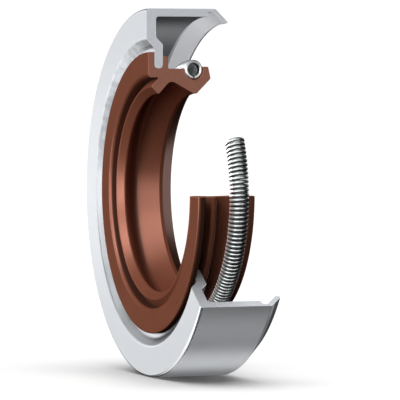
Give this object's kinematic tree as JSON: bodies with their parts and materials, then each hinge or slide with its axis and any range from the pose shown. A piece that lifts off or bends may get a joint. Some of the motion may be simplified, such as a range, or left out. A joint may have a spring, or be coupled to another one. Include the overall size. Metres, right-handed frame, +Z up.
{
  "type": "radial shaft seal, cut open",
  "caption": "Radial shaft seal cut open: pressed metal case, rubber element with a main lip and a dust lip, and the coiled garter spring behind the main lip.",
  "frame": {"origin": "on the shaft's centreline, in the plane of the case's flange face", "axes": "+Y runs along the shaft from the flange face into the seal, +Z is up, and the cut starts at +Z and opens towards +X"},
  "size_m": [0.0473, 0.0123, 0.052],
  "materials": {
    "case_steel": "satin, light grey pressed sheet steel",
    "rubber": "satin, red-brown moulded fluoro rubber",
    "spring_steel": "bright drawn spring wire"
  },
  "bodies": {
    "root": {"metal_case": "case_steel", "sealing_lip": "rubber", "garter_spring": "spring_steel"}
  },
  "joints": []
}
